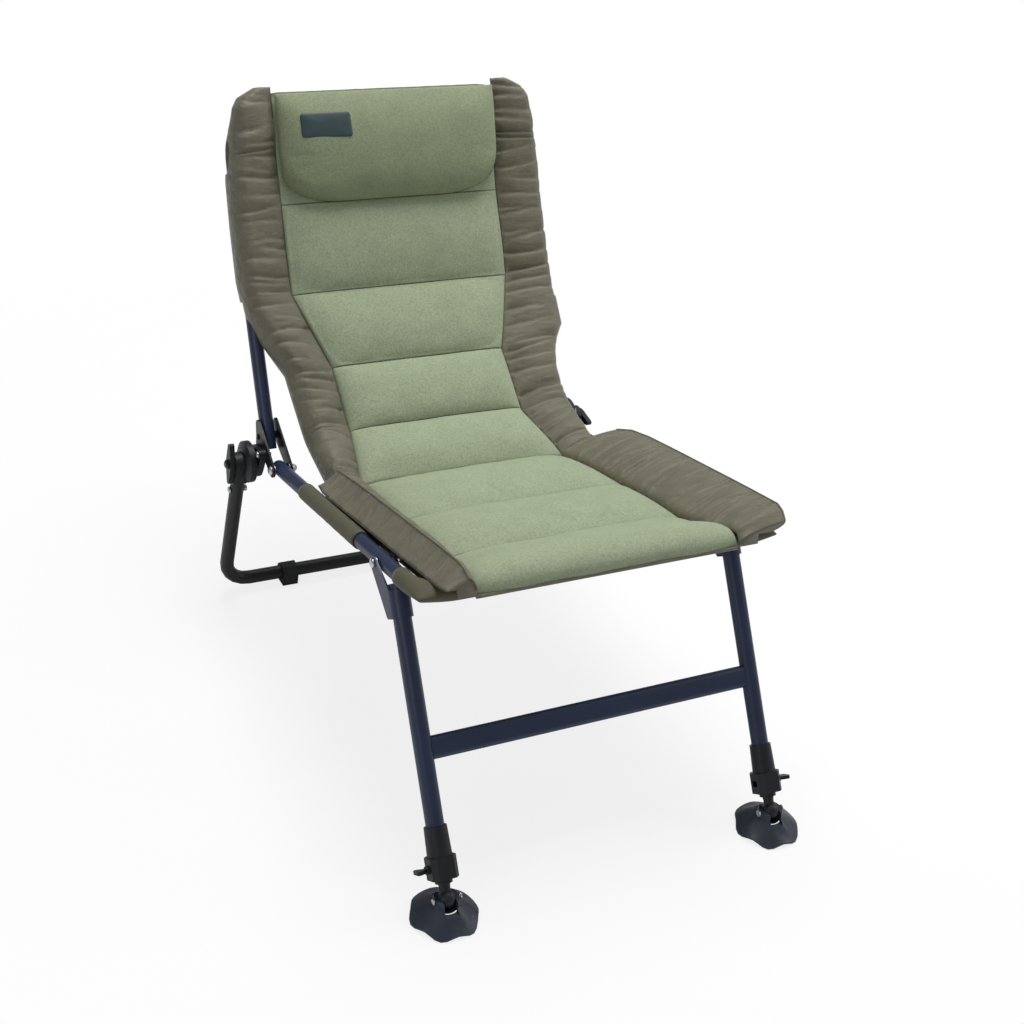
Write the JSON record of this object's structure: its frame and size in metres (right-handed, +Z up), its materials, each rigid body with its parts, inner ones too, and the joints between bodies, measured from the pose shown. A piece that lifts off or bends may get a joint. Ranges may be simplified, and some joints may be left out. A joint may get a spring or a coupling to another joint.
{
  "type": "reclining folding fishing chair",
  "caption": "Padded reclining fishing chair that folds flat, with a toothed recline lock, a swinging rear leg and sliding front legs on tilting mud feet.",
  "frame": {"origin": "middle of the chair's box, on the floor", "axes": "+Z up, +Y towards the chair's back, +X across the seat"},
  "size_m": [0.6372, 1.0448, 0.7744],
  "materials": {
    "navy_frame_paint": "semi-gloss powder coat",
    "black_frame_paint": "semi-gloss powder coat",
    "black_plastic": "fine moulded grain",
    "foot_rubber": "matt",
    "mud_foot_plastic": "fine moulded grain",
    "zinc_hardware": "bright zinc plate",
    "sage_fleece": "brushed pile",
    "olive_satin": "smooth woven satin",
    "olive_canvas": "plain woven canvas"
  },
  "bodies": {
    "seat": {"seat_frame": "navy_frame_paint", "seat_sling": "olive_canvas", "seat_cushion": "sage_fleece", "seat_bolster_left": "olive_satin", "seat_bolster_right": "olive_satin"},
    "back": {"back_frame": "navy_frame_paint", "back_sling": "olive_canvas", "back_cushion": "sage_fleece", "head_pillow": "sage_fleece", "hinge_plate_outer_left": "black_frame_paint", "hinge_plate_outer_right": "black_frame_paint", "hinge_plate_inner_left": "black_frame_paint", "hinge_plate_inner_right": "black_frame_paint", "pivot_bolt_left": "zinc_hardware", "pivot_bolt_right": "zinc_hardware", "pivot_nut_left": "zinc_hardware", "pivot_nut_right": "zinc_hardware", "plate_rivet_left": "black_frame_paint", "plate_rivet_right": "black_frame_paint", "back_side_panel_left": "olive_satin", "back_side_panel_right": "olive_satin", "lock_fixed_disc_left": "black_plastic", "lock_fixed_disc_right": "black_plastic", "lock_disc_bolt_left": "zinc_hardware", "lock_disc_bolt_right": "zinc_hardware"},
    "rear_leg": {"rear_leg": "black_frame_paint", "lock_swivel_disc_left": "black_plastic", "lock_swivel_disc_right": "black_plastic", "lock_axle_left": "black_frame_paint", "lock_axle_right": "black_frame_paint", "rear_leg_screw_left": "zinc_hardware", "rear_leg_screw_right": "zinc_hardware", "rear_foot_pad_left": "foot_rubber", "rear_foot_pad_right": "foot_rubber"},
    "front_legs": {"front_brace": "navy_frame_paint", "front_leg_left": "navy_frame_paint", "front_leg_right": "navy_frame_paint", "leg_bracket_left": "navy_frame_paint", "leg_bracket_right": "navy_frame_paint", "leg_collar_left": "black_plastic", "leg_collar_right": "black_plastic", "leg_fold_bolt_left": "zinc_hardware", "leg_fold_bolt_right": "zinc_hardware", "leg_fold_nut_left": "zinc_hardware", "leg_fold_nut_right": "zinc_hardware"},
    "lock_lever_left": {"lock_lever_left": "black_plastic"},
    "thumbscrew_left": {"thumbscrew_left": "black_plastic"},
    "foot_stem_left": {"foot_stem_left": "black_plastic"},
    "mud_foot_left": {"mud_foot_left": "mud_foot_plastic", "foot_pin_left": "zinc_hardware"},
    "lock_lever_right": {"lock_lever_right": "black_plastic"},
    "thumbscrew_right": {"thumbscrew_right": "black_plastic"},
    "foot_stem_right": {"foot_stem_right": "black_plastic"},
    "mud_foot_right": {"mud_foot_right": "mud_foot_plastic", "foot_pin_right": "zinc_hardware"}
  },
  "joints": [
    {"name": "back_fold", "type": "hinge", "parent": "seat", "child": "back", "pos_m": [0, 0.20605, 0.282], "axis": [1, 0, 0], "range_deg": [0, 100], "deforming": ["seat_cushion", "back_cushion", "seat_bolster_left", "seat_bolster_right", "back_side_panel_left", "back_side_panel_right"]},
    {"name": "rear_leg_swing", "type": "hinge", "parent": "back", "child": "rear_leg", "pos_m": [0, 0.26102, 0.26795], "axis": [1, 0, 0], "range_deg": [-25, 135]},
    {"name": "front_leg_fold", "type": "hinge", "parent": "seat", "child": "front_legs", "pos_m": [0, -0.18709, 0.37929], "axis": [1, 0, 0], "range_deg": [0, 100]},
    {"name": "foot_slide_left", "type": "slide", "parent": "front_legs", "child": "foot_stem_left", "axis": [0, -0.5807, -0.8141], "range_m": [0, 0.12]},
    {"name": "foot_tilt_left", "type": "hinge", "parent": "foot_stem_left", "child": "mud_foot_left", "pos_m": [-0.2615, -0.4768, 0.031], "axis": [1, 0, 0], "range_deg": [-25, 25]},
    {"name": "thumbscrew_turn_left", "type": "hinge", "parent": "front_legs", "child": "thumbscrew_left", "pos_m": [-0.2615, -0.45183, 0.06601], "axis": [1, 0, 0], "continuous": true},
    {"name": "lock_lever_turn_left", "type": "hinge", "parent": "rear_leg", "child": "lock_lever_left", "pos_m": [-0.309, 0.26102, 0.26795], "axis": [1, 0, 0], "range_deg": [0, 90]},
    {"name": "foot_slide_right", "type": "slide", "parent": "front_legs", "child": "foot_stem_right", "axis": [0, -0.5807, -0.8141], "range_m": [0, 0.12]},
    {"name": "foot_tilt_right", "type": "hinge", "parent": "foot_stem_right", "child": "mud_foot_right", "pos_m": [0.2615, -0.4768, 0.031], "axis": [1, 0, 0], "range_deg": [-25, 25]},
    {"name": "thumbscrew_turn_right", "type": "hinge", "parent": "front_legs", "child": "thumbscrew_right", "pos_m": [0.2615, -0.45183, 0.06601], "axis": [1, 0, 0], "continuous": true},
    {"name": "lock_lever_turn_right", "type": "hinge", "parent": "rear_leg", "child": "lock_lever_right", "pos_m": [0.309, 0.26102, 0.26795], "axis": [1, 0, 0], "range_deg": [-90, 0]}
  ]
}
